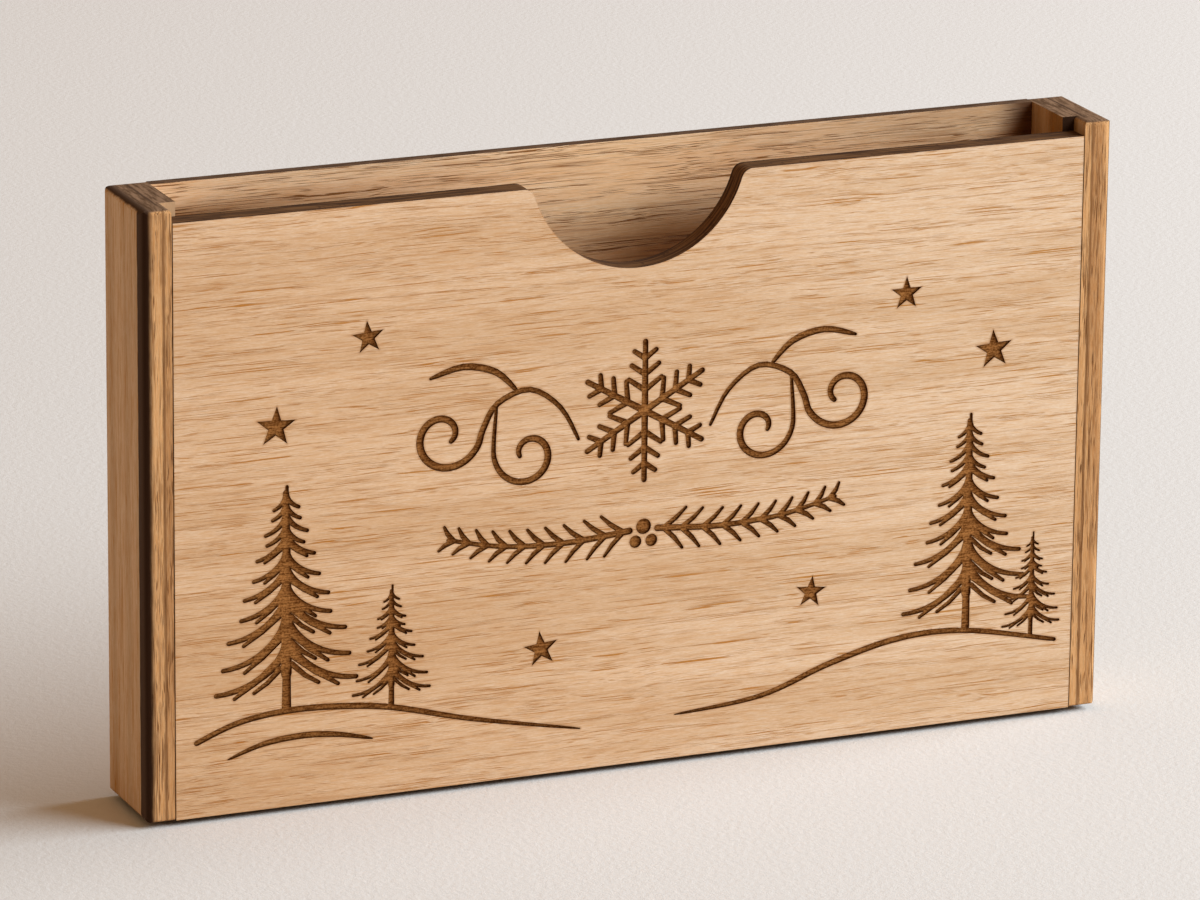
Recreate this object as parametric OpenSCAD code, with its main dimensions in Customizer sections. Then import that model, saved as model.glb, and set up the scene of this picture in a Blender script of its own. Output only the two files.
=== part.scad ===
// Holder for one gift card: boards of thin oak-faced wood, cut out and glued.
// The front looks toward -Y. The origin is on the floor, at the middle of the footprint.

/* [Card] */
// Width of the card that the pocket is made for
card_w = 85.6; // [60:0.1:120]
// Height of the card
card_h = 54; // [40:0.1:90]
// Play on each side of the card
card_play = 1.2; // [0.3:0.1:4]
// Depth of the pocket, from front panel to back panel
pocket_d = 6.5; // [4.5:0.1:20]
// Height of the cheeks above the card's top edge
card_cover = 0.8; // [0:0.1:8]

/* [Boards] */
// Thickness of the front panel
front_t = 2.4; // [1.5:0.1:6]
// Thickness of the back panel
back_t = 1.2; // [0.8:0.1:6]
// Thickness of the outer layer of a cheek
outer_t = 2; // [1.2:0.1:5]
// Thickness of the inner layer of a cheek
inner_t = 2; // [1.6:0.1:5]
// Height of the strip that the card stands on
strip_h = 2.6; // [1.5:0.1:10]
// Distance from the cheeks' tops down to the front panel's top edge
front_drop = 1.35; // [0:0.05:6]

/* [Rebate] */
// Width of the shoulder on the inner layer that the front panel seats against
shoulder_w = 1.2; // [0.4:0.1:1.2]
// Gap between the front panel's end and the lip beside it
joint_gap = 0.1; // [0:0.05:0.3]

/* [Edges] */
// Radius of the cheeks' top front corner, seen from the side
nose_r = 0.5; // [0.1:0.05:1.5]
// Radius of the cheeks' other three corners, seen from the side
ease_r = 0.3; // [0.1:0.05:1]
// Radius of the outer face's front edge
front_rim_r = 0.75; // [0.1:0.05:1.1]
// Radius of the outer face's back edge
back_rim_r = 0.3; // [0.1:0.05:1.1]
// Radius of the outer face's top and bottom edges
end_rim_r = 0.6; // [0.1:0.05:1.1]
// Radius of the lip's inner top corner, seen from the front
lip_r = 0.5; // [0.1:0.05:0.7]

/* [Finger notch] */
// Width of the notch along the panel's top edge, before its ends are rounded
notch_w = 20.9; // [14:0.1:32]
// Depth of the notch below the panel's top edge
notch_depth = 8.35; // [4:0.05:12]
// Radius that rounds each end of the notch into the top edge
notch_end_r = 1.15; // [0.3:0.05:4]

/* [Hidden] */
$fn = 96;

// How far a cutting shape runs past the wood that it cuts
over = 1;

// Overall sizes
pocket_w = card_w + 2 * card_play;
body_w = pocket_w + 2 * (inner_t + outer_t);
body_d = front_t + pocket_d + back_t;
body_h = strip_h + card_h + card_cover;

// Places shared by the boards, measured on the right half
pocket_x = pocket_w / 2;
lip_x = pocket_x + shoulder_w;
layer_x = pocket_x + inner_t;
outer_x = body_w / 2;
front_y = -body_d / 2;
pocket_front_y = front_y + front_t;
pocket_back_y = pocket_front_y + pocket_d;
back_y = body_d / 2;
front_top_z = body_h - front_drop;

// The notch's round bottom is a circle through both ends of its width and its lowest point.
notch_r = (pow(notch_w / 2, 2) + pow(notch_depth, 2)) / (2 * notch_depth);
notch_centre_z = front_top_z - notch_depth + notch_r;

// Each end circle touches the top edge and the bottom circle.
end_z = front_top_z - notch_end_r;
end_reach = notch_r + notch_end_r;
end_x = sqrt(pow(end_reach, 2) - pow(notch_centre_z - end_z, 2));
touch_x = end_x * notch_r / end_reach;
touch_z = notch_centre_z + (end_z - notch_centre_z) * notch_r / end_reach;

echo(overall = [body_w, body_d, body_h], notch_radius = notch_r);

// Rectangle centred on the origin, with the radii of its four corners from the lower left one round
module rounded_rect(w, h, r) {
    x = w / 2;
    y = h / 2;
    polygon([
        [r[0] - x, -y], [x - r[1], -y], [x, r[1] - y], [x, y - r[2]],
        [x - r[2], y], [r[3] - x, y], [-x, y - r[3]], [-x, r[0] - y]
    ]);
    translate([r[0] - x, r[0] - y]) circle(r = r[0]);
    translate([x - r[1], r[1] - y]) circle(r = r[1]);
    translate([x - r[2], y - r[2]]) circle(r = r[2]);
    translate([r[3] - x, y - r[3]]) circle(r = r[3]);
}

// Layer of a cheek from x1 to x2, with the cheek's side outline
module cheek_layer(x1, x2) {
    translate([x1, 0, body_h / 2])
        rotate([90, 0, 90])
            linear_extrude(x2 - x1)
                rounded_rect(body_d, body_h, [ease_r, ease_r, ease_r, nose_r]);
}

// Right outer layer: its rim is rounded by the outlines seen from above and from the front.
module outer_cheek() {
    intersection() {
        cheek_layer(layer_x, outer_x);
        linear_extrude(body_h)
            rounded_rect(body_w, body_d, [front_rim_r, front_rim_r, back_rim_r, back_rim_r]);
        translate([0, back_y, body_h / 2])
            rotate([90, 0, 0])
                linear_extrude(body_d)
                    rounded_rect(body_w, body_h, [end_rim_r, end_rim_r, end_rim_r, end_rim_r]);
    }
}

// Right inner layer: the rebate at its front leaves a lip in front of a shoulder.
module inner_cheek() {
    difference() {
        cheek_layer(pocket_x, layer_x);
        translate([pocket_x - over, front_y - over, -over])
            cube([shoulder_w + over, front_t + over, body_h + 2 * over]);
        lip_corner();
    }
}

// Wood taken off the lip's inner top corner
module lip_corner() {
    translate([lip_x, front_y - over, body_h - lip_r])
        difference() {
            translate([-over, 0, 0]) cube([lip_r + over, front_t + over, lip_r + over]);
            translate([lip_r, front_t + 2 * over, 0])
                rotate([90, 0, 0]) cylinder(h = front_t + 3 * over, r = lip_r);
        }
}

// Outline of the finger notch in the plane of the front panel
module notch_outline() {
    translate([0, notch_centre_z]) circle(r = notch_r, $fn = 180);
    difference() {
        polygon([
            [-end_x, front_top_z + over], [end_x, front_top_z + over],
            [end_x, end_z], [touch_x, touch_z],
            [-touch_x, touch_z], [-end_x, end_z]
        ]);
        for (x = [-1, 1])
            translate([x * end_x, end_z]) circle(r = notch_end_r);
    }
}

module front_panel() {
    color("burlywood")
        translate([0, pocket_front_y, 0])
            rotate([90, 0, 0])
                linear_extrude(front_t)
                    difference() {
                        translate([-lip_x + joint_gap, 0])
                            square([2 * (lip_x - joint_gap), front_top_z]);
                        notch_outline();
                    }
}

module back_panel() {
    color("tan")
        translate([-pocket_x, pocket_back_y, 0]) cube([pocket_w, back_t, body_h]);
}

module right_outer_cheek() {
    color("peru") outer_cheek();
}

module right_inner_cheek() {
    color("sandybrown") inner_cheek();
}

module left_outer_cheek() {
    color("peru") mirror([1, 0, 0]) outer_cheek();
}

module left_inner_cheek() {
    color("sandybrown") mirror([1, 0, 0]) inner_cheek();
}

// The strip closes the pocket's bottom and holds the two panels apart.
module bottom_strip() {
    color("wheat")
        translate([-pocket_x, pocket_front_y, 0]) cube([pocket_w, pocket_d, strip_h]);
}

front_panel();
back_panel();
left_outer_cheek();
left_inner_cheek();
right_outer_cheek();
right_inner_cheek();
bottom_strip();
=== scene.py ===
"""Looks of the gift card holder: oak veneer, burnt edges and an engraved front, in a plain studio."""
import math
import random

import bpy
from mathutils import Matrix, Vector
from mathutils.geometry import delaunay_2d_cdt
from mathutils.kdtree import KDTree


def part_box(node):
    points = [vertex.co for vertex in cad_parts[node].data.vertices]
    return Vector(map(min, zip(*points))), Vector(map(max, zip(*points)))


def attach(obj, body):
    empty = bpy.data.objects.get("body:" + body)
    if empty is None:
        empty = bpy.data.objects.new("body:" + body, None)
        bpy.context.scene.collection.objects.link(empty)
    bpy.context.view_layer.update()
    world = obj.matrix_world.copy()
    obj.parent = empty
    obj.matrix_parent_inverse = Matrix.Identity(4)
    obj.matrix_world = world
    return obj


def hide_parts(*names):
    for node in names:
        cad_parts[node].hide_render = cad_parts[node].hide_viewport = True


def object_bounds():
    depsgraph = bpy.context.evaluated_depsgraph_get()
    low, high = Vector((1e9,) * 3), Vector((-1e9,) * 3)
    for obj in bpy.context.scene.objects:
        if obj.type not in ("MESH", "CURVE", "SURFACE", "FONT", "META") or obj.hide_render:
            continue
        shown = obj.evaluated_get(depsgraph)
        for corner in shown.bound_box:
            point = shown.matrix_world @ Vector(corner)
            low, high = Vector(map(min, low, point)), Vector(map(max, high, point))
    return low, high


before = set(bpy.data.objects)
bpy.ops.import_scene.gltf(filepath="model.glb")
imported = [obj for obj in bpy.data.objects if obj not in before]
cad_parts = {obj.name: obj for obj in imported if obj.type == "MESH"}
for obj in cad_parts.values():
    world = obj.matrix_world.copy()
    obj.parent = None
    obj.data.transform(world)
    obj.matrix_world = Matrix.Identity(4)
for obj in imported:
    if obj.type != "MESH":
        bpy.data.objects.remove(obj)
cad_low, cad_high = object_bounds()

MM = 0.001
TAU = 2 * math.pi

# Sizes of the front panel that its own box doesn't give, in millimetres
NOTCH_W = 20.9
NOTCH_DEPTH = 8.35
NOTCH_END_R = 1.15
# Engraving: its depth beside the walls and away from them, and how far in it keeps deepening
RIM_DEPTH = 0.16
CUT_DEPTH = 0.24
BOWL_WIDTH = 0.24
# Unevenness of its bottom, and the spacing of the points in it
CUT_NOISE = 0.01
GRID_STEP = 0.22
# Width of the dark border inside a cut (burn and painted shade), and of the burnt border outside it and
# along the panel's own edges
BURN_IN = 0.13
BURN_OUT = 0.2
BURN_EDGE = 0.13
# How dark each of these is, from 0 to 1: burn, and inside a cut also painted shade beside the walls
BURN_AND_SHADE = 0.85
HALO = 0.6
EDGE_HALO = 0.35
# How far the floor lies below the part, in millimetres, and how far it reaches from the middle, in metres
FLOOR_DROP = 0.55
FLOOR_REACH = 4.0
# Greatest angle between the points round a sharp corner
FAN_STEP = 0.6
# How often the distance to a cut's rim is taken along each of the rim's edges
RIM_STEPS = 5
# Seeds for the places and for the heights of the points in a cut
GRID_SEED = 21
HEIGHT_SEED = 34
# Where the two layers of a cheek meet, measured from the middle
LAYER_X = 46.0

# Camera: a long lens looks down at the front from its left.
CAMERA_TARGET = Vector((-3.64, -5.05, 30.71)) * MM
CAMERA_DISTANCE = 702.2 * MM
CAMERA_YAW = math.radians(23.07)
CAMERA_PITCH = math.radians(16.46)
CAMERA_ROLL = math.radians(0.58)
CAMERA_LENS = 229.6

# Lamp: a wide soft box at the right, a little in front and above
LAMP_AZIMUTH = math.radians(22.3)
LAMP_ELEVATION = math.radians(35)
LAMP_DISTANCE = 1.18
LAMP_WIDTH = 1.3
LAMP_HEIGHT = 0.65
LAMP_POWER = 28.0
LAMP_COLOUR = (0.72, 0.864, 1.0)
SKY_COLOUR = (0.338, 0.222, 0.125)
BACKDROP_COLOUR = (0.79, 0.71, 0.655)


def make_camera():
    data = bpy.data.cameras.new("camera")
    data.lens = CAMERA_LENS
    data.sensor_width = 36.0
    data.clip_start = 0.01
    data.clip_end = 20.0
    camera = bpy.data.objects.new("camera", data)
    bpy.context.scene.collection.objects.link(camera)
    forward = Vector((
        math.sin(CAMERA_YAW) * math.cos(CAMERA_PITCH),
        math.cos(CAMERA_YAW) * math.cos(CAMERA_PITCH),
        -math.sin(CAMERA_PITCH),
    ))
    place = Matrix.Translation(CAMERA_TARGET - forward * CAMERA_DISTANCE)
    turn = forward.to_track_quat("-Z", "Y").to_matrix().to_4x4()
    camera.matrix_world = place @ turn @ Matrix.Rotation(CAMERA_ROLL, 4, "Z")
    bpy.context.scene.camera = camera


def make_lights():
    data = bpy.data.lights.new("soft_box", "AREA")
    data.shape = "RECTANGLE"
    data.size = LAMP_WIDTH
    data.size_y = LAMP_HEIGHT
    data.energy = LAMP_POWER
    data.color = LAMP_COLOUR
    lamp = bpy.data.objects.new("soft_box", data)
    bpy.context.scene.collection.objects.link(lamp)
    toward = Vector((
        math.cos(LAMP_AZIMUTH) * math.cos(LAMP_ELEVATION),
        -math.sin(LAMP_AZIMUTH) * math.cos(LAMP_ELEVATION),
        math.sin(LAMP_ELEVATION),
    ))
    lamp.location = CAMERA_TARGET + toward * LAMP_DISTANCE
    lamp.rotation_euler = (-toward).to_track_quat("-Z", "Y").to_euler()

    world = bpy.data.worlds.new("studio")
    bpy.context.scene.world = world
    world.use_nodes = True
    nodes, links = world.node_tree.nodes, world.node_tree.links
    nodes.clear()
    path = nodes.new("ShaderNodeLightPath")
    sky = nodes.new("ShaderNodeBackground")
    sky.inputs["Color"].default_value = (*SKY_COLOUR, 1)
    seen = nodes.new("ShaderNodeBackground")
    seen.inputs["Color"].default_value = (*BACKDROP_COLOUR, 1)
    mix = nodes.new("ShaderNodeMixShader")
    out = nodes.new("ShaderNodeOutputWorld")
    links.new(path.outputs["Is Camera Ray"], mix.inputs["Fac"])
    links.new(sky.outputs[0], mix.inputs[1])
    links.new(seen.outputs[0], mix.inputs[2])
    links.new(mix.outputs[0], out.inputs[0])


class Graph:
    """Short calls for building one material's nodes."""

    def __init__(self, name):
        self.material = bpy.data.materials.new(name)
        self.material.use_nodes = True
        self.nodes = self.material.node_tree.nodes
        self.links = self.material.node_tree.links
        self.nodes.clear()
        self.out = self.nodes.new("ShaderNodeOutputMaterial")
        self.shader = self.nodes.new("ShaderNodeBsdfPrincipled")
        self.links.new(self.shader.outputs[0], self.out.inputs["Surface"])
        self.coordinates = self.nodes.new("ShaderNodeTexCoord")

    def put(self, socket, value):
        if isinstance(value, bpy.types.NodeSocket):
            self.links.new(value, socket)
        elif isinstance(value, tuple) and len(value) == 3 and socket.type == "RGBA":
            socket.default_value = (*value, 1)
        else:
            socket.default_value = value

    def math(self, operation, a, b=0.0, c=0.0):
        node = self.nodes.new("ShaderNodeMath")
        node.operation = operation
        for socket, value in zip(node.inputs, (a, b, c)):
            self.put(socket, value)
        return node.outputs[0]

    def times(self, a, b):
        return self.math("MULTIPLY", a, b)

    def rest(self, value):
        """What value lacks to 1."""
        return self.math("SUBTRACT", 1.0, value)

    def span(self, value, low, high, to_low=0.0, to_high=1.0):
        """Maps value from low..high to to_low..to_high with soft ends."""
        node = self.nodes.new("ShaderNodeMapRange")
        node.interpolation_type = "SMOOTHSTEP"
        names = ("Value", "From Min", "From Max", "To Min", "To Max")
        for name, v in zip(names, (value, low, high, to_low, to_high)):
            self.put(node.inputs[name], v)
        return node.outputs["Result"]

    def mix(self, factor, a, b, blend="MIX"):
        node = self.nodes.new("ShaderNodeMix")
        node.data_type = "RGBA"
        node.blend_type = blend
        self.put(node.inputs[0], factor)
        self.put(node.inputs[6], a)
        self.put(node.inputs[7], b)
        return node.outputs[2]

    def tint(self, colour, factor):
        """The colour, with each of its parts multiplied by that of factor."""
        return self.mix(1.0, colour, factor, "MULTIPLY")

    def wander(self, grain, seed, reach):
        """Object coordinates that drift across the grain by up to reach millimetres."""
        drift = self.noise(self.place(lengths(17, 5, grain), (seed, 0, 0)), 2, 0.5)
        drift = self.times(self.math("SUBTRACT", drift, 0.5), 2 * reach * MM)
        offset = self.nodes.new("ShaderNodeCombineXYZ")
        for axis, socket in zip("XYZ", offset.inputs):
            if axis != grain:
                self.links.new(drift, socket)
        node = self.nodes.new("ShaderNodeVectorMath")
        node.operation = "ADD"
        self.links.new(self.coordinates.outputs["Object"], node.inputs[0])
        self.links.new(offset.outputs[0], node.inputs[1])
        return node.outputs[0]

    def place(self, sizes, shift=(0.0, 0.0, 0.0), source=None):
        """Coordinates counted in features of the given sizes in millimetres, along X, Y and Z."""
        mapping = self.nodes.new("ShaderNodeMapping")
        self.links.new(source or self.coordinates.outputs["Object"], mapping.inputs["Vector"])
        mapping.inputs["Scale"].default_value = [1 / (size * MM) for size in sizes]
        mapping.inputs["Location"].default_value = shift
        return mapping.outputs["Vector"]

    def noise(self, vector, detail=2.0, roughness=0.5, distortion=0.0):
        node = self.nodes.new("ShaderNodeTexNoise")
        self.links.new(vector, node.inputs["Vector"])
        node.inputs["Scale"].default_value = 1.0
        node.inputs["Detail"].default_value = detail
        node.inputs["Roughness"].default_value = roughness
        node.inputs["Distortion"].default_value = distortion
        return node.outputs["Fac"]

    def normal(self):
        """Size of the object-space normal along X, Y and Z."""
        split = self.nodes.new("ShaderNodeSeparateXYZ")
        self.links.new(self.coordinates.outputs["Normal"], split.inputs[0])
        return [self.math("ABSOLUTE", output) for output in split.outputs]

    def position(self):
        """Place in millimetres along X, Y and Z."""
        split = self.nodes.new("ShaderNodeSeparateXYZ")
        self.links.new(self.place((1, 1, 1)), split.inputs[0])
        return list(split.outputs)

    def bump(self, height, distance, strength=1.0):
        node = self.nodes.new("ShaderNodeBump")
        node.inputs["Strength"].default_value = strength
        node.inputs["Distance"].default_value = distance * MM
        self.links.new(height, node.inputs["Height"])
        self.links.new(node.outputs[0], self.shader.inputs["Normal"])

    def finish(self, colour, roughness, specular=0.3):
        self.put(self.shader.inputs["Base Color"], colour)
        self.put(self.shader.inputs["Roughness"], roughness)
        self.shader.inputs["Specular IOR Level"].default_value = specular
        return self.material


def lengths(along, across, grain):
    """Feature sizes on X, Y and Z for a board whose grain runs along that axis."""
    sizes = [across, across, across]
    sizes["XYZ".index(grain)] = along
    return tuple(sizes)


def oak(graph, grain, seed, light, dark, streak, strength=1.0, stretch=1.0):
    """Colour and height of oak veneer: wide bands, fine fibres, and long thin pores and stains."""
    shift = (seed * 3.7, seed * 5.3, seed * 7.1)
    bent = graph.wander(grain, seed * 1.9, 0.35)

    def along(length, width, detail=1):
        """Noise with features of that length along the grain and width across it, in millimetres."""
        return graph.noise(graph.place(lengths(length * stretch, width, grain), shift, bent), detail, 0.55)

    bands = graph.noise(graph.place(lengths(50, 3, grain), shift), 3, 0.55)
    fibres = along(1.5, 0.07, 2)
    flecks = along(0.4, 0.09)
    short_sets = graph.span(along(8, 0.45), 0.42, 0.62, 0.1, 1.0)
    short = graph.times(graph.span(along(2.4, 0.07), 0.54, 0.67), short_sets)
    long_sets = graph.span(along(14, 0.5), 0.47, 0.6)
    long = graph.times(graph.span(along(9, 0.08), 0.55, 0.63), long_sets)
    pores = graph.times(graph.math("MAXIMUM", graph.times(short, 0.75), long), strength)
    stains = graph.times(graph.span(along(6, 0.3), 0.54, 0.7, 0.0, 0.3), strength)

    colour = graph.mix(graph.span(bands, 0.36, 0.64), light, dark)
    colour = graph.mix(graph.math("MAXIMUM", pores, stains), colour, streak)
    warmth = graph.mix(graph.span(fibres, 0.25, 0.75), (0.95, 0.865, 0.75), (1.03, 1.10, 1.21))
    colour = graph.tint(colour, warmth)
    warmth = graph.mix(graph.span(flecks, 0.35, 0.75), (0.98, 0.955, 0.93), (1.03, 1.05, 1.08))
    colour = graph.tint(colour, warmth)
    height = graph.math("SUBTRACT", graph.math("MULTIPLY_ADD", flecks, 0.6, fibres), pores)
    return colour, height


# Colours, as linear light: the front face
FACE_LIGHT = (0.835, 0.573, 0.36)
FACE_DARK = (0.74, 0.478, 0.275)
FACE_STREAK = (0.53, 0.215, 0.035)
# The back panel and the bottom strip
BACK_LIGHT = (0.97, 0.675, 0.40)
BACK_DARK = (0.88, 0.545, 0.29)
BACK_STREAK = (0.30, 0.12, 0.03)
# The cheeks: their sides, their fronts, and the painted shade on the inner side of the right one
SIDE_LIGHT = (0.765, 0.51, 0.305)
SIDE_DARK = (0.625, 0.395, 0.22)
LIP_LIGHT = (0.77, 0.42, 0.18)
LIP_DARK = (0.52, 0.255, 0.10)
LIP_STREAK = (0.19, 0.078, 0.026)
RIGHT_INSIDE_SHADE = (0.40, 0.205, 0.074)
# Painted shade in the pocket and in its right corner, which multiply the wood's own colour
POCKET_SHADE = (0.36, 0.255, 0.155)
CORNER_SHADE = (0.12, 0.06, 0.03)
# Burnt ends and edges of the boards; the two rim colours also paint shade on the right cheeks' shoulders,
# and the first of them also in the groove across the cheeks' tops
CHAR_LIGHT = (0.285, 0.162, 0.092)
CHAR_DARK = (0.11, 0.056, 0.028)
EDGE_LIGHT = (0.20, 0.088, 0.03)
EDGE_DARK = (0.055, 0.02, 0.007)
RIM_CHAR_AND_SHADE = (0.085, 0.045, 0.026)
FRONT_CHAR_AND_SHADE = (0.035, 0.014, 0.006)
# The engraving: its floor and its walls
CUT_LIGHT = (0.43, 0.178, 0.05)
CUT_DARK = (0.13, 0.041, 0.008)
WALL = (0.040, 0.011, 0.002)


def face_material():
    """Veneer of the front panel, darker toward its lower left corner and scorched beside the cuts."""
    graph = Graph("oak_face")
    colour, height = oak(graph, "X", 1, FACE_LIGHT, FACE_DARK, FACE_STREAK)
    x, y, z = graph.position()
    across = graph.mix(graph.span(x, -40, 40), (0.99, 0.94, 0.875), (1.015, 1.035, 1.05))
    colour = graph.tint(colour, across)
    corner = graph.times(graph.span(x, -42, 5, 1.0, 0.0), graph.span(z, 0, 30, 1.0, 0.0))
    colour = graph.mix(corner, colour, graph.tint(colour, (0.93, 0.895, 0.84)))
    attribute = graph.nodes.new("ShaderNodeAttribute")
    attribute.attribute_name = "scorch_and_shade"
    colour = graph.mix(attribute.outputs["Fac"], colour, CUT_LIGHT)
    graph.bump(height, 0.035, 0.7)
    return graph.finish(colour, 0.6)


def charred(graph, seed, along="Y"):
    """Colour of a surface that the laser burnt, streaked along the board."""
    mottle = graph.noise(graph.place(lengths(2.2, 0.3, along), (seed, 0, 0)), 3, 0.65)
    return graph.mix(graph.span(mottle, 0.35, 0.65), CHAR_DARK, CHAR_LIGHT)


def edge_material():
    """Burnt edge of the front panel: streaks of its plies, darker beside both faces and on top."""
    graph = Graph("burnt_edge")
    low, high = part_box("front_panel")
    middle = (low.y + high.y) / 2 / MM
    half = (high.y - low.y) / 2 / MM
    x, y, z = graph.position()
    nx, ny, nz = graph.normal()
    plies = graph.noise(graph.place((5, 0.3, 5)), 2, 0.6)
    nicks = graph.noise(graph.place((0.5, 1.2, 0.5)), 2, 0.6)
    colour = graph.mix(graph.span(plies, 0.35, 0.65), EDGE_DARK, EDGE_LIGHT)
    colour = graph.mix(graph.span(nicks, 0.6, 0.7, 0.0, 0.6), colour, EDGE_DARK)
    offset = graph.math("ABSOLUTE", graph.math("SUBTRACT", y, middle))
    colour = graph.mix(graph.span(offset, half - 0.45, half, 0.0, 0.7), colour, FRONT_CHAR_AND_SHADE)
    on_top = graph.span(nz, 0.9, 0.98, 0.0, 0.8)
    colour = graph.mix(on_top, colour, graph.tint(colour, (0.72, 0.70, 0.68)))
    graph.bump(plies, 0.05, 0.6)
    return graph.finish(colour, 0.8, 0.15)


def cut_material():
    """Floor of the engraving: brown, darker beside its walls from burn and painted shade, with the grain
    still showing.
    """
    graph = Graph("engraved_floor")
    attribute = graph.nodes.new("ShaderNodeAttribute")
    attribute.attribute_name = "scorch_and_shade"
    lines = graph.noise(graph.place((1.2, 0.5, 0.1)), 2, 0.65)
    specks = graph.noise(graph.place((0.22, 0.3, 0.16)), 2, 0.6)
    tone = graph.math("MULTIPLY_ADD", lines, 0.55, graph.times(specks, 0.45))
    colour = graph.mix(graph.span(tone, 0.38, 0.62), CUT_DARK, CUT_LIGHT)
    colour = graph.mix(graph.span(attribute.outputs["Fac"], 0.0, 1.0), colour, WALL)
    graph.bump(tone, 0.05, 0.8)
    return graph.finish(colour, 0.9, 0.02)


def wall_material():
    """Walls of the engraving, burnt nearly black."""
    graph = Graph("engraved_wall")
    shade = graph.noise(graph.place((0.4, 0.3, 0.4)), 2, 0.6)
    colour = graph.mix(graph.span(shade, 0.3, 0.7), WALL, CUT_DARK)
    return graph.finish(colour, 0.9, 0.02)


def board_material(name, grain, seed):
    """Board with veneer on its faces and burnt cuts on top, and painted shade on the side that faces the
    pocket.
    """
    graph = Graph(name)
    colour, height = oak(graph, grain, seed, BACK_LIGHT, BACK_DARK, BACK_STREAK, 1.4, 1.6)
    nx, ny, nz = graph.normal()
    x, y, z = graph.position()
    down = graph.math("SUBTRACT", cad_high.z / MM, z)
    inside_face = graph.rest(graph.span(y, 4.6, 4.8))

    # Painted shade below the top edge at the left, at the right, and deep in the pocket behind the notch
    left = graph.times(graph.span(down, 0.9, 3.4), graph.span(x, -44, -8, 1.0, 0.0))
    right = graph.span(x, 12, 34, 0.0, 0.3)
    deep = graph.times(graph.span(down, 3.5, 10), graph.span(x, -9, 8, 0.45, 0.95))
    painted_shade = graph.times(graph.math("MAXIMUM", graph.math("MAXIMUM", left, deep), right), inside_face)
    colour = graph.mix(painted_shade, colour, graph.tint(colour, POCKET_SHADE))

    # Painted shade, deepest in the pocket's right corner
    corner = graph.times(graph.span(x, 39.5, 43.5, 0.0, 0.95), inside_face)
    colour = graph.mix(corner, colour, graph.tint(colour, CORNER_SHADE))
    top = graph.tint(charred(graph, seed, "X"), (0.5, 0.45, 0.42))
    colour = graph.mix(graph.span(nz, 0.5, 0.8), colour, top)
    graph.bump(height, 0.03, 0.6)
    return graph.finish(colour, 0.65, 0.15)


def cheek_material(name, seed, side_light, side_dark, shoulder, burn, reach):
    """Layer of a cheek: upright veneer on its sides, a browner front, burnt ends and a burnt rim.

    shoulder is the colour of the rebate's shoulder, which on the right cheeks is painted shade.
    burn says how dark the rim is in front, and reach how wide it is.
    """
    graph = Graph(name)
    low = cad_low / MM
    high = cad_high / MM
    face, height = oak(graph, "Z", seed, side_light, side_dark, FACE_STREAK)
    lip, lip_height = oak(graph, "Z", seed + 4, LIP_LIGHT, LIP_DARK, LIP_STREAK, 1.6, 0.8)
    nx, ny, nz = graph.normal()
    x, y, z = graph.position()
    from_middle = graph.math("ABSOLUTE", x)
    wobble = graph.noise(graph.place((1, 1, 2.5), (seed, 0, 0)), 2, 0.6)

    # Distances from the cheek's outer face, from its front or back, and from its top or bottom
    side_in = graph.math("SUBTRACT", high.x, from_middle)
    front_in = graph.math("SUBTRACT", y, low.y)
    back_in = graph.math("SUBTRACT", high.y, y)
    ends_in = graph.math("MINIMUM", graph.math("SUBTRACT", high.z, z), z)

    on_shoulder = graph.times(graph.span(front_in, 2.2, 2.3), graph.span(back_in, 2.2, 2.3))
    colour = graph.mix(graph.span(ny, 0.35, 0.6), face, graph.mix(on_shoulder, lip, shoulder))

    # The glue line between the two layers is a dark seam, and where it crosses the top a dark line paints
    # the shade of a groove.
    seam_distance = graph.math("ABSOLUTE", graph.math("SUBTRACT", from_middle, LAYER_X))
    seam_distance = graph.math("MULTIPLY_ADD", wobble, -0.22, seam_distance)
    seam = graph.rest(graph.span(seam_distance, -0.05, 0.1))
    colour = graph.mix(graph.times(seam, 0.7), colour, LIP_STREAK)
    groove_shade = graph.times(seam, graph.span(front_in, 1.0, 2.2, 0.0, 0.9))
    top = graph.mix(groove_shade, charred(graph, seed), RIM_CHAR_AND_SHADE)
    colour = graph.mix(graph.span(nz, 0.6, 0.85), colour, top)

    # The burnt rim fades into the front, ends sharply on the outer face and is a thin line elsewhere.
    rough = graph.times(graph.math("SUBTRACT", wobble, 0.5), 0.25)
    fade = graph.rest(graph.span(graph.math("ADD", side_in, rough), 0.5 * reach, 1.15 * reach))
    front_rim = graph.rest(graph.span(graph.math("ADD", front_in, rough), 1.3, 1.45))
    back_rim = graph.rest(graph.span(graph.math("ADD", back_in, rough), 0.1, 0.3))
    end_rim = graph.rest(graph.span(graph.math("ADD", ends_in, rough), 0.15, 0.4))
    edge = graph.math("MAXIMUM", graph.times(front_rim, burn), graph.math("MAXIMUM", back_rim, end_rim))
    rim = graph.mix(graph.span(ny, 0.3, 0.8), RIM_CHAR_AND_SHADE, FRONT_CHAR_AND_SHADE)
    colour = graph.mix(graph.times(fade, edge), colour, rim)
    graph.bump(graph.math("ADD", height, lip_height), 0.02, 0.6)
    return graph.finish(colour, 0.75, 0.05)


def floor_material():
    """Pale backdrop cloth with a faint, fine tooth, and painted light that makes it a little darker at the
    front and paler toward the back.
    """
    graph = Graph("cloth")
    tooth = graph.noise(graph.place((0.7, 0.7, 0.7)), 4, 0.7)
    x, y, z = graph.position()
    # Painted light: the cloth darkens toward the front and pales toward the back.
    colour = graph.mix(graph.span(y, -60, 350), (0.735, 0.672, 0.612), (0.785, 0.718, 0.66))
    graph.bump(tooth, 0.11, 0.8)
    return graph.finish(colour, 0.9, 0.05)


# Outlines in the plane of the front panel are lists of (x, z) points in millimetres.


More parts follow.
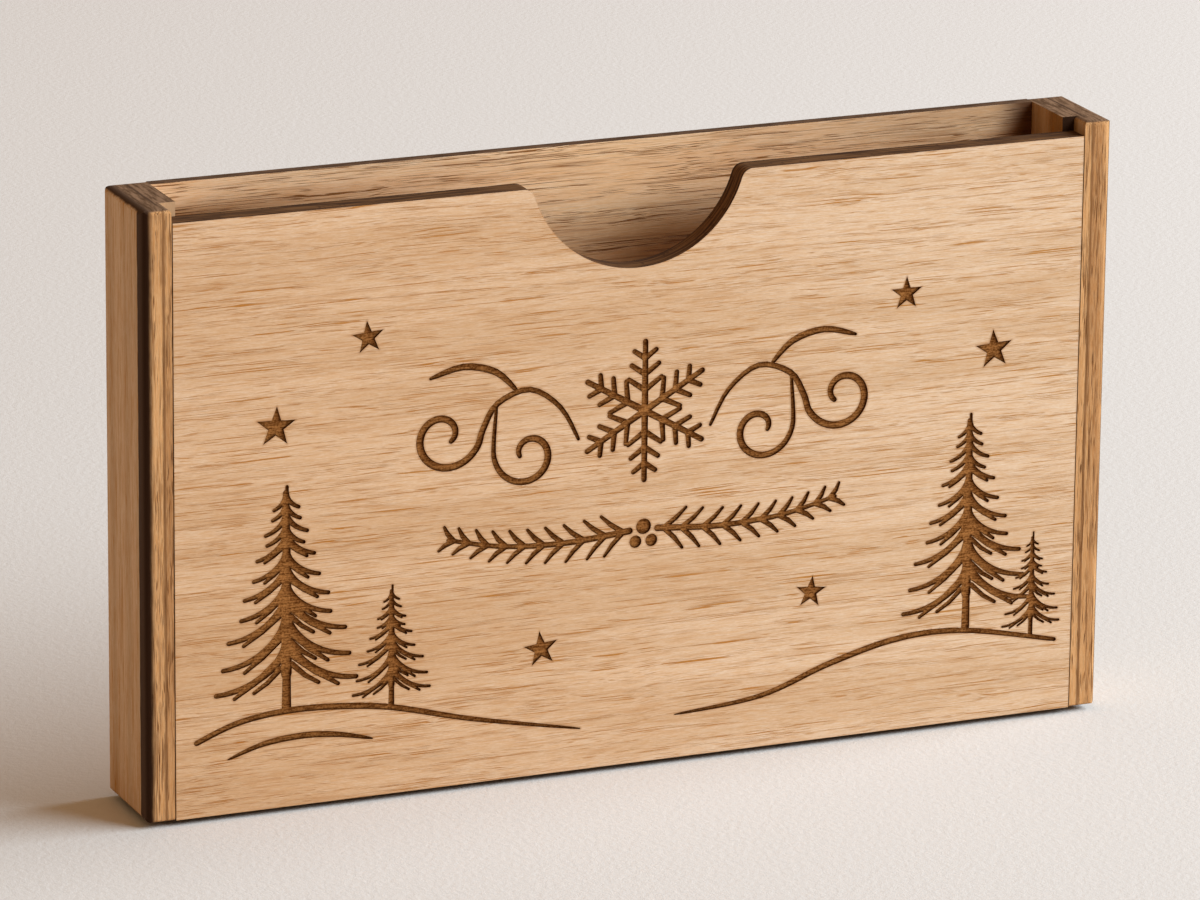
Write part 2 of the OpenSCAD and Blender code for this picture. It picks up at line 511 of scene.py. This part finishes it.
def arc(centre, radius, start, end, steps):
    """Points on a circle from one angle to another."""
    angles = [start + (end - start) * i / steps for i in range(steps + 1)]
    return [Vector((centre[0] + radius * math.cos(a), centre[1] + radius * math.sin(a))) for a in angles]


def bezier(p0, p1, p2, p3, steps):
    """Points on a cubic curve."""
    points = []
    for i in range(steps + 1):
        t = i / steps
        a, b, c, d = (1 - t) ** 3, 3 * t * (1 - t) ** 2, 3 * t * t * (1 - t), t ** 3
        points.append(Vector(p0) * a + Vector(p1) * b + Vector(p2) * c + Vector(p3) * d)
    return points


def curve(knots, steps):
    """Smooth path through every knot."""
    knots = [Vector(k) for k in knots]
    path = [knots[0]]
    for i in range(len(knots) - 1):
        start, end = knots[i], knots[i + 1]
        lead = (end - knots[max(i - 1, 0)]) / 6
        tail = (knots[min(i + 2, len(knots) - 1)] - start) / 6
        path += bezier(start, start + lead, end - tail, end, steps)[1:]
    return path


def stroke(path, widths):
    """Outline of a cut that follows path, with a half width at each point and round ends."""
    directions = []
    for i in range(len(path)):
        directions.append((path[min(i + 1, len(path) - 1)] - path[max(i - 1, 0)]).normalized())
    left = [p + Vector((-d.y, d.x)) * w for p, d, w in zip(path, directions, widths)]
    right = [p - Vector((-d.y, d.x)) * w for p, d, w in zip(path, directions, widths)]
    head = math.atan2(directions[-1].y, directions[-1].x)
    tail = math.atan2(directions[0].y, directions[0].x)
    head_cap = arc(path[-1], widths[-1], head - math.pi / 2, head + math.pi / 2, 6)[1:-1]
    tail_cap = arc(path[0], widths[0], tail + math.pi / 2, tail + 3 * math.pi / 2, 6)[1:-1]
    return right + head_cap + left[::-1] + tail_cap


def taper(count, root, tip):
    """Half widths that run from root to tip."""
    return [root + (tip - root) * i / (count - 1) for i in range(count)]


def swell(count, middle, start, end):
    """Half widths that swell toward the middle of a stroke."""
    widths = []
    for i in range(count):
        t = i / (count - 1)
        low = start * (1 - t) + end * t
        widths.append(low + (middle - low) * math.sin(math.pi * t) ** 0.6)
    return widths


def star(x, z, radius, tilt):
    """Five-pointed star."""
    points = []
    for i in range(10):
        reach = radius if i % 2 == 0 else radius * 0.4
        angle = math.pi / 2 + tilt + i * TAU / 10
        points.append(Vector((x + reach * math.cos(angle), z + reach * math.sin(angle))))
    return points


def bough(x, side, reach, tip_z, rise, bend, widths):
    """Bough that leaves the trunk steeply and levels out toward its tip; bend lifts its middle."""
    knots = [(0.0, 1.0), (0.04, 0.56), (0.45, bend), (1.0, 0.0)]
    path = bezier(*[(x + side * reach * a, tip_z + rise * reach * b) for a, b in knots], 14)
    return stroke(path, taper(len(path), *widths))


def twig(x, side, reach, tip_z, start, end, widths):
    """Nearly straight twig; start and end are shares of the reach of the bough above it."""
    start = Vector((x + side * reach * start[0], tip_z + reach * start[1]))
    end = Vector((x + side * reach * end[0], tip_z + reach * end[1]))
    middle = start.lerp(end, 0.5) - Vector((0, 0.03 * reach))
    return stroke([start, middle, end], taper(3, *widths))


def fir(x, foot, height, reach, thick, tips):
    """Fir tree; tips holds, for each side, how far down and how far out each bough ends."""
    top = foot + height
    trunk = [Vector((x + 0.1, top)), Vector((x + 0.1, top - height * 0.06)), Vector((x, foot))]
    shapes = [stroke(trunk, [0.15 * thick + 0.02, 0.17 * thick, 0.46 * thick])]
    core = [(0.1, 0.06, 0.16), (0.08, 0.2, 0.32), (0.04, 0.5, 0.46), (0.0, 0.84, 0.52)]
    path = [Vector((x + a, top - height * down)) for a, down, w in core]
    shapes.append(stroke(path, [w * thick for a, down, w in core]))
    for side, rows in zip((-1, 1), tips):
        for i, (down, out) in enumerate(rows):
            length = reach * out
            tip_z = top - height * down
            last = i == len(rows) - 1
            rise = 0.72 + (1 - out) ** 4 - (0.1 if last and side < 0 else 0.0)
            root_w = (0.26 + 0.22 * out) * thick
            tip_w = (0.17 + 0.06 * out) * thick
            shapes.append(bough(x, side, length, tip_z, rise, 0.02 + 0.2 * (1 - out), (root_w, tip_w)))
            if out > 0.3:
                end = (0.74 - 0.08 * (i % 2), -0.07)
                shapes.append(twig(x, side, length, tip_z, (0.1, 0.4), end, (root_w * 0.8, tip_w * 0.85)))
            if out > 0.8 and (side > 0 or last):
                widths = (root_w * 0.6, tip_w * 0.85)
                shapes.append(twig(x, side, length, tip_z, (0.08, 0.28), (0.46, -0.02), widths))
    return shapes


# How far down and how far out the boughs of a fir end, on its left and on its right
TALL_FIR = (
    (
        (0.1, 0.17), (0.145, 0.19), (0.21, 0.29), (0.255, 0.27), (0.32, 0.41), (0.41, 0.46),
        (0.49, 0.59), (0.58, 0.64), (0.675, 0.82), (0.795, 0.9), (0.905, 1.0),
    ),
    (
        (0.095, 0.18), (0.145, 0.2), (0.205, 0.3), (0.255, 0.25), (0.31, 0.4), (0.405, 0.47),
        (0.495, 0.6), (0.58, 0.63), (0.66, 0.84), (0.78, 0.9), (0.89, 1.0),
    ),
)
SHORT_FIR = (
    (
        (0.13, 0.19), (0.19, 0.23), (0.27, 0.35), (0.345, 0.36), (0.43, 0.55), (0.535, 0.62),
        (0.64, 0.84), (0.775, 0.9), (0.895, 1.0),
    ),
    (
        (0.12, 0.2), (0.185, 0.25), (0.27, 0.36), (0.34, 0.34), (0.405, 0.52), (0.525, 0.6),
        (0.63, 0.82), (0.77, 0.93), (0.89, 1.0),
    ),
)


def flake(x, z, radius, width, pairs):
    """Snowflake: six arms, each with pairs of side needles."""
    shapes = []
    centre = Vector((x, z))
    for arm in range(6):
        angle = math.pi / 2 + arm * TAU / 6
        out = Vector((math.cos(angle), math.sin(angle)))
        shapes.append(stroke([centre, centre + out * radius], [width, width * 0.8]))
        for i in range(pairs):
            share = 0.3 + 0.46 * i / (pairs - 1)
            needle = radius * (0.3 - 0.1 * i / (pairs - 1))
            base = centre + out * radius * share
            for side in (-1, 1):
                lean = angle + side * TAU / 6.5
                tip = base + Vector((math.cos(lean), math.sin(lean))) * needle
                shapes.append(stroke([base, tip], [width * 0.85, width * 0.7]))
    return shapes


def curl(centre, radius, end_radius, start, end, steps):
    """Points on a spiral from one angle to another."""
    points = []
    for i in range(steps + 1):
        t = i / steps
        reach = radius + (end_radius - radius) * t ** 0.8
        angle = start + (end - start) * t
        points.append((centre[0] + reach * math.cos(angle), centre[1] + reach * math.sin(angle)))
    return points


def scrolls(x, z):
    """Pair of mirrored scrolls with curled ends, each with a leaf above it and a smaller curl below."""
    main = [(6.6, -1.6), (8.4, 1.6), (11.4, 3.6), (14.6, 2.6)]
    main += curl((19.9, 0.0), 3.9, 0.9, math.radians(175), math.radians(575), 16)
    leaf = [(12.6, 3.5), (14.8, 5.6), (18.0, 6.4), (21.2, 5.6)]
    low = [(14.7, 2.5)] + curl((11.6, -2.5), 3.6, 0.8, math.radians(20), math.radians(-370), 15)
    shapes = []
    for side in (-1, 1):
        for knots, widths in (
            (main, (0.37, 0.16, 0.24)),
            (leaf, (0.34, 0.12, 0.14)),
            (low, (0.35, 0.14, 0.22)),
        ):
            path = curve([(x + side * a, z + b) for a, b in knots], 4)
            shapes.append(stroke(path, swell(len(path), *widths)))
    return shapes


def spray(x, z, side, length, pairs):
    """Fir twig that points away from x, with needles on both sides of a bent stem."""
    knots = [(0, 0), (0.35, -0.45), (0.7, -0.1), (1, 1.1)]
    path = curve([(x + side * length * a, z + b) for a, b in knots], 10)
    shapes = [stroke(path, taper(len(path), 0.33, 0.2))]
    for i in range(pairs):
        share = (i + 0.5) / pairs
        at = share * (len(path) - 1)
        k = min(int(at), len(path) - 2)
        base = path[k].lerp(path[k + 1], at - k)
        along = (path[k + 1] - path[k]).normalized()
        needle = 2.9 - 1.3 * share
        for up in (-1, 1):
            turn = Matrix.Rotation(up * 0.75, 2)
            tip = base + turn @ along * needle
            bend = base.lerp(tip, 0.5) + along * 0.15
            shapes.append(stroke([base, bend, tip], [0.27, 0.24, 0.15]))
    return shapes


def engraving():
    """Every cut shape on the front face."""
    shapes = []
    shapes += fir(-34.4, 9.4, 21.1, 6.8, 1.0, TALL_FIR)
    shapes += fir(-24.15, 8.7, 11.3, 3.75, 0.62, SHORT_FIR)
    shapes += fir(34.0, 9.3, 20.9, 6.5, 0.92, TALL_FIR)
    shapes += fir(40.85, 7.8, 10.1, 2.95, 0.52, SHORT_FIR)
    left_hill = [
        (-43.1, 7.15), (-39.1, 8.6), (-34.4, 9.2), (-29.5, 9.05), (-24.0, 8.3), (-16.0, 6.2), (-5.4, 4.0),
    ]
    left_drift = [(-40.1, 5.2), (-36.6, 6.3), (-32.8, 6.65), (-29.4, 6.35), (-26.0, 5.55)]
    right_hill = [(4.2, 4.2), (12.9, 5.0), (20.0, 7.35), (27.2, 9.0), (34.1, 8.95), (43.4, 7.0)]
    for knots, ends in ((left_hill, (0.27, 0.06)), (left_drift, (0.05, 0.06)), (right_hill, (0.06, 0.2))):
        path = curve(knots, 8)
        shapes.append(stroke(path, swell(len(path), 0.31, *ends)))
    stars = [
        (-26.45, 43.7, 1.6, 0.08), (-35.35, 36.2, 1.95, -0.05), (27.15, 42.6, 1.65, 0.0),
        (36.3, 36.3, 1.95, 0.06), (17.9, 14.6, 1.6, -0.1), (-9.35, 12.2, 1.75, 0.1),
    ]
    shapes += [star(*each) for each in stars]
    shapes += flake(0.8, 34.0, 6.6, 0.34, 3)
    shapes += scrolls(0.8, 33.6)
    shapes += spray(-0.6, 22.6, -1, 18, 10)
    shapes += spray(2.2, 22.6, 1, 18, 10)
    shapes.append(arc((0.8, 22.9), 0.75, 0, TAU, 20)[:-1])
    shapes.append(arc((0.0, 21.5), 0.6, 0, TAU, 18)[:-1])
    shapes.append(arc((1.6, 21.5), 0.6, 0, TAU, 18)[:-1])
    return shapes


def panel_outline(half_width, top):
    """Front panel seen from the front: square corners, and the notch with rounded ends."""
    radius = ((NOTCH_W / 2) ** 2 + NOTCH_DEPTH ** 2) / (2 * NOTCH_DEPTH)
    centre_z = top - NOTCH_DEPTH + radius
    end_z = top - NOTCH_END_R
    reach = radius + NOTCH_END_R
    end_x = math.sqrt(reach ** 2 - (centre_z - end_z) ** 2)
    lean = math.atan2(centre_z - end_z, end_x)
    points = [Vector((-half_width, 0)), Vector((half_width, 0)), Vector((half_width, top))]
    points += arc((end_x, end_z), NOTCH_END_R, math.pi / 2, math.pi - lean, 12)
    points += arc((0, centre_z), radius, -lean, -math.pi + lean, 72)[1:]
    points += arc((-end_x, end_z), NOTCH_END_R, lean, math.pi / 2, 12)[1:]
    points.append(Vector((-half_width, top)))
    return points


def inside(point, polygon):
    """Whether a point lies in a polygon."""
    hit = False
    for a, b in zip(polygon, polygon[1:] + polygon[:1]):
        if (a.y > point.y) != (b.y > point.y):
            if point.x < a.x + (point.y - a.y) * (b.x - a.x) / (b.y - a.y):
                hit = not hit
    return hit


def boxes(shapes):
    """Each shape with its lowest and highest x and z."""
    boxed = []
    for shape in shapes:
        xs = [point.x for point in shape]
        zs = [point.y for point in shape]
        boxed.append((min(xs), max(xs), min(zs), max(zs), shape))
    return boxed


def covered(point, boxed):
    """Whether a point lies in any of the shapes."""
    for x0, x1, z0, z1, shape in boxed:
        if x0 < point.x < x1 and z0 < point.y < z1 and inside(point, shape):
            return True
    return False


def grid_points(shapes, step, seed):
    """Jittered points inside the shapes, so that the engraved floor can carry shade and unevenness."""
    chance = random.Random(seed)
    cells = set()
    points = []
    for x0, x1, z0, z1, shape in boxes(shapes):
        for i in range(math.floor(x0 / step), math.ceil(x1 / step) + 1):
            for j in range(math.floor(z0 / step), math.ceil(z1 / step) + 1):
                if (i, j) in cells or not inside(Vector((i * step, j * step)), shape):
                    continue
                cells.add((i, j))
                jitter = Vector((chance.uniform(-0.3, 0.3), chance.uniform(-0.3, 0.3))) * step
                points.append(Vector((i * step, j * step)) + jitter)
    return points


def side_points(shapes, reach, spacing):
    """Points beside the shapes' outlines, outside them, or inside where reach is negative."""
    boxed = boxes(shapes)
    near = set()
    points = []

    def add(point):
        cell = (round(point.x / spacing), round(point.y / spacing))
        if cell not in near and covered(point, boxed) == (reach < 0):
            near.add(cell)
            points.append(point)

    for shape in shapes:
        area = sum(a.x * b.y - b.x * a.y for a, b in zip(shape, shape[1:] + shape[:1]))
        side = reach if area > 0 else -reach
        corners = [p for p, q in zip(shape, shape[1:] + shape[:1]) if (p - q).length > 1e-6]
        offsets = []
        for a, b in zip(corners, corners[1:] + corners[:1]):
            along = b - a
            offsets.append(Vector((along.y, -along.x)).normalized() * side)
            count = max(1, round(along.length / spacing))
            for i in range(count):
                add(a + along * ((i + 0.5) / count) + offsets[-1])
        # Points fan out round each sharp corner.
        for corner, before, after in zip(corners, offsets[-1:] + offsets[:-1], offsets):
            turn = before.angle_signed(after)
            count = math.ceil(abs(turn) / FAN_STEP)
            for i in range(1, count):
                add(corner + Matrix.Rotation(-turn * i / count, 2) @ before)
    return points


def cut_plan(outline, shapes):
    """Points and triangles of the front face, which triangles are sunk, and the outline's points."""
    points = list(outline)
    loops = [list(range(len(outline)))]
    for shape in shapes:
        loops.append(list(range(len(points), len(points) + len(shape))))
        points += shape
    points += grid_points(shapes, GRID_STEP, GRID_SEED)
    points += side_points(shapes, -BURN_IN, 0.1) + side_points(shapes, BURN_OUT, 0.15)
    points += side_points([outline], -BURN_EDGE, 0.3)
    made = delaunay_2d_cdt(points, [], loops, 1, 1e-4, True)
    flat, found, first, sources = made[0], made[2], made[3], made[5]
    triangles = [t for t, source in zip(found, sources) if source]
    sunk = [any(s > 0 for s in source) for source in sources if source]
    where = {s: index for index, source in enumerate(first) for s in source}
    return flat, triangles, sunk, [where[i] for i in range(len(outline))]


def cut_rims(triangles, sunk):
    """Edges between a sunk triangle and one that isn't, in the sunk one's direction."""
    sides = {}
    for index, triangle in enumerate(triangles):
        for a, b in zip(triangle, triangle[1:] + triangle[:1]):
            sides.setdefault((min(a, b), max(a, b)), []).append((index, a, b))
    rims = []
    for found in sides.values():
        if len(found) == 2 and sunk[found[0][0]] != sunk[found[1][0]]:
            rims.append((found[0] if sunk[found[0][0]] else found[1])[1:])
    return rims


def make_front_panel():
    """The front panel as one closed mesh with its engraving cut into the face."""
    low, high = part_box("front_panel")
    front = low.y / MM
    back = high.y / MM
    outline = panel_outline(high.x / MM, high.z / MM)
    flat, triangles, sunk, border = cut_plan(outline, engraving())
    rims = cut_rims(triangles, sunk)
    rim_points = {p for rim in rims for p in rim}
    halo = dict.fromkeys(border, EDGE_HALO) | dict.fromkeys(rim_points, HALO)
    near = KDTree(RIM_STEPS * len(rims))
    for index, (a, b) in enumerate(rims):
        for step in range(RIM_STEPS):
            near.insert((*flat[a].lerp(flat[b], step / RIM_STEPS), 0), RIM_STEPS * index + step)
    near.balance()
    chance = random.Random(HEIGHT_SEED)
    vertices = []
    scorch_and_shade = []
    upper = {}
    lower = {}

    def vertex(store, index, depth, burn):
        if index not in store:
            store[index] = len(vertices)
            vertices.append((flat[index].x * MM, (front + depth) * MM, flat[index].y * MM))
            scorch_and_shade.append(burn)
        return store[index]

    def face_vertex(index):
        return vertex(upper, index, 0.0, halo.get(index, 0.0))

    def floor_vertex(index):
        # Beside the walls the floor's colour goes toward the walls': burn and painted shade.
        if index in rim_points:
            return vertex(lower, index, RIM_DEPTH, 1.0)
        inward = min(1.0, near.find((*flat[index], 0))[2] / BOWL_WIDTH)
        depth = RIM_DEPTH + (CUT_DEPTH - RIM_DEPTH) * inward + chance.uniform(-CUT_NOISE, CUT_NOISE)
        return vertex(lower, index, depth, BURN_AND_SHADE * (1 - inward))

    faces = []
    slots = []
    for triangle, is_sunk in zip(triangles, sunk):
        if is_sunk:
            faces.append([floor_vertex(i) for i in triangle])
            slots.append(2)
        else:
            faces.append([face_vertex(i) for i in triangle])
            slots.append(0)
    for a, b in rims:
        faces.append([floor_vertex(b), floor_vertex(a), face_vertex(a), face_vertex(b)])
        slots.append(3)

    # The edge and the back close the mesh.
    ring = [vertex(upper, i, 0, 0) for i in border]
    rear = []
    for point in outline:
        rear.append(len(vertices))
        vertices.append((point.x * MM, back * MM, point.y * MM))
        scorch_and_shade.append(0.0)
    for i in range(len(outline)):
        j = (i + 1) % len(outline)
        faces.append([ring[i], rear[i], rear[j], ring[j]])
        slots.append(1)
    faces.append(rear[::-1])
    slots.append(0)

    mesh = bpy.data.meshes.new("engraved_front_panel")
    mesh.from_pydata(vertices, [], faces)
    for material in (face_material(), edge_material(), cut_material(), wall_material()):
        mesh.materials.append(material)
    mesh.polygons.foreach_set("material_index", slots)
    mesh.polygons.foreach_set("use_smooth", [slot == 2 for slot in slots])
    mesh.attributes.new("scorch_and_shade", "FLOAT", "POINT").data.foreach_set("value", scorch_and_shade)
    mesh.validate()
    mesh.update()
    panel = bpy.data.objects.new("engraved_front_panel", mesh)
    bpy.context.scene.collection.objects.link(panel)
    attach(panel, "root")
    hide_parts("front_panel")
    print("panel:", len(vertices), "vertices", len(faces), "faces")


def dress_boards():
    """Gives each CAD board its wood."""
    side = (SIDE_LIGHT, SIDE_DARK)
    left = (1.0, 1.0)
    right = (0.7, 0.3)
    wood = {
        "back_panel": board_material("oak_back", "X", 2),
        "bottom_strip": board_material("oak_strip", "X", 3),
        "left_outer_cheek": cheek_material("oak_left_outer", 4, *side, FACE_LIGHT, *left),
        "left_inner_cheek": cheek_material("oak_left_inner", 5, FACE_LIGHT, FACE_DARK, SIDE_DARK, *left),
        # The right cheeks' shoulders are painted shade, near black.
        "right_outer_cheek": cheek_material("oak_right_outer", 6, *side, RIM_CHAR_AND_SHADE, *right),
        # The right inner cheek's inner side is painted shade.
        "right_inner_cheek": cheek_material("oak_right_inner", 7, RIGHT_INSIDE_SHADE, SIDE_DARK, FRONT_CHAR_AND_SHADE, *right),
    }
    for name, material in wood.items():
        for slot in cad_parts[name].material_slots:
            slot.material = material


def make_floor():
    mesh = bpy.data.meshes.new("floor")
    around = [(-1, -1), (1, -1), (1, 1), (-1, 1)]
    corners = [(FLOOR_REACH * a, FLOOR_REACH * b, -FLOOR_DROP * MM) for a, b in around]
    mesh.from_pydata(corners, [], [(0, 1, 2, 3)])
    mesh.materials.append(floor_material())
    floor = bpy.data.objects.new("floor", mesh)
    bpy.context.scene.collection.objects.link(floor)


bpy.context.scene.view_settings.view_transform = "Standard"
make_camera()
make_lights()
make_floor()
make_front_panel()
dress_boards()
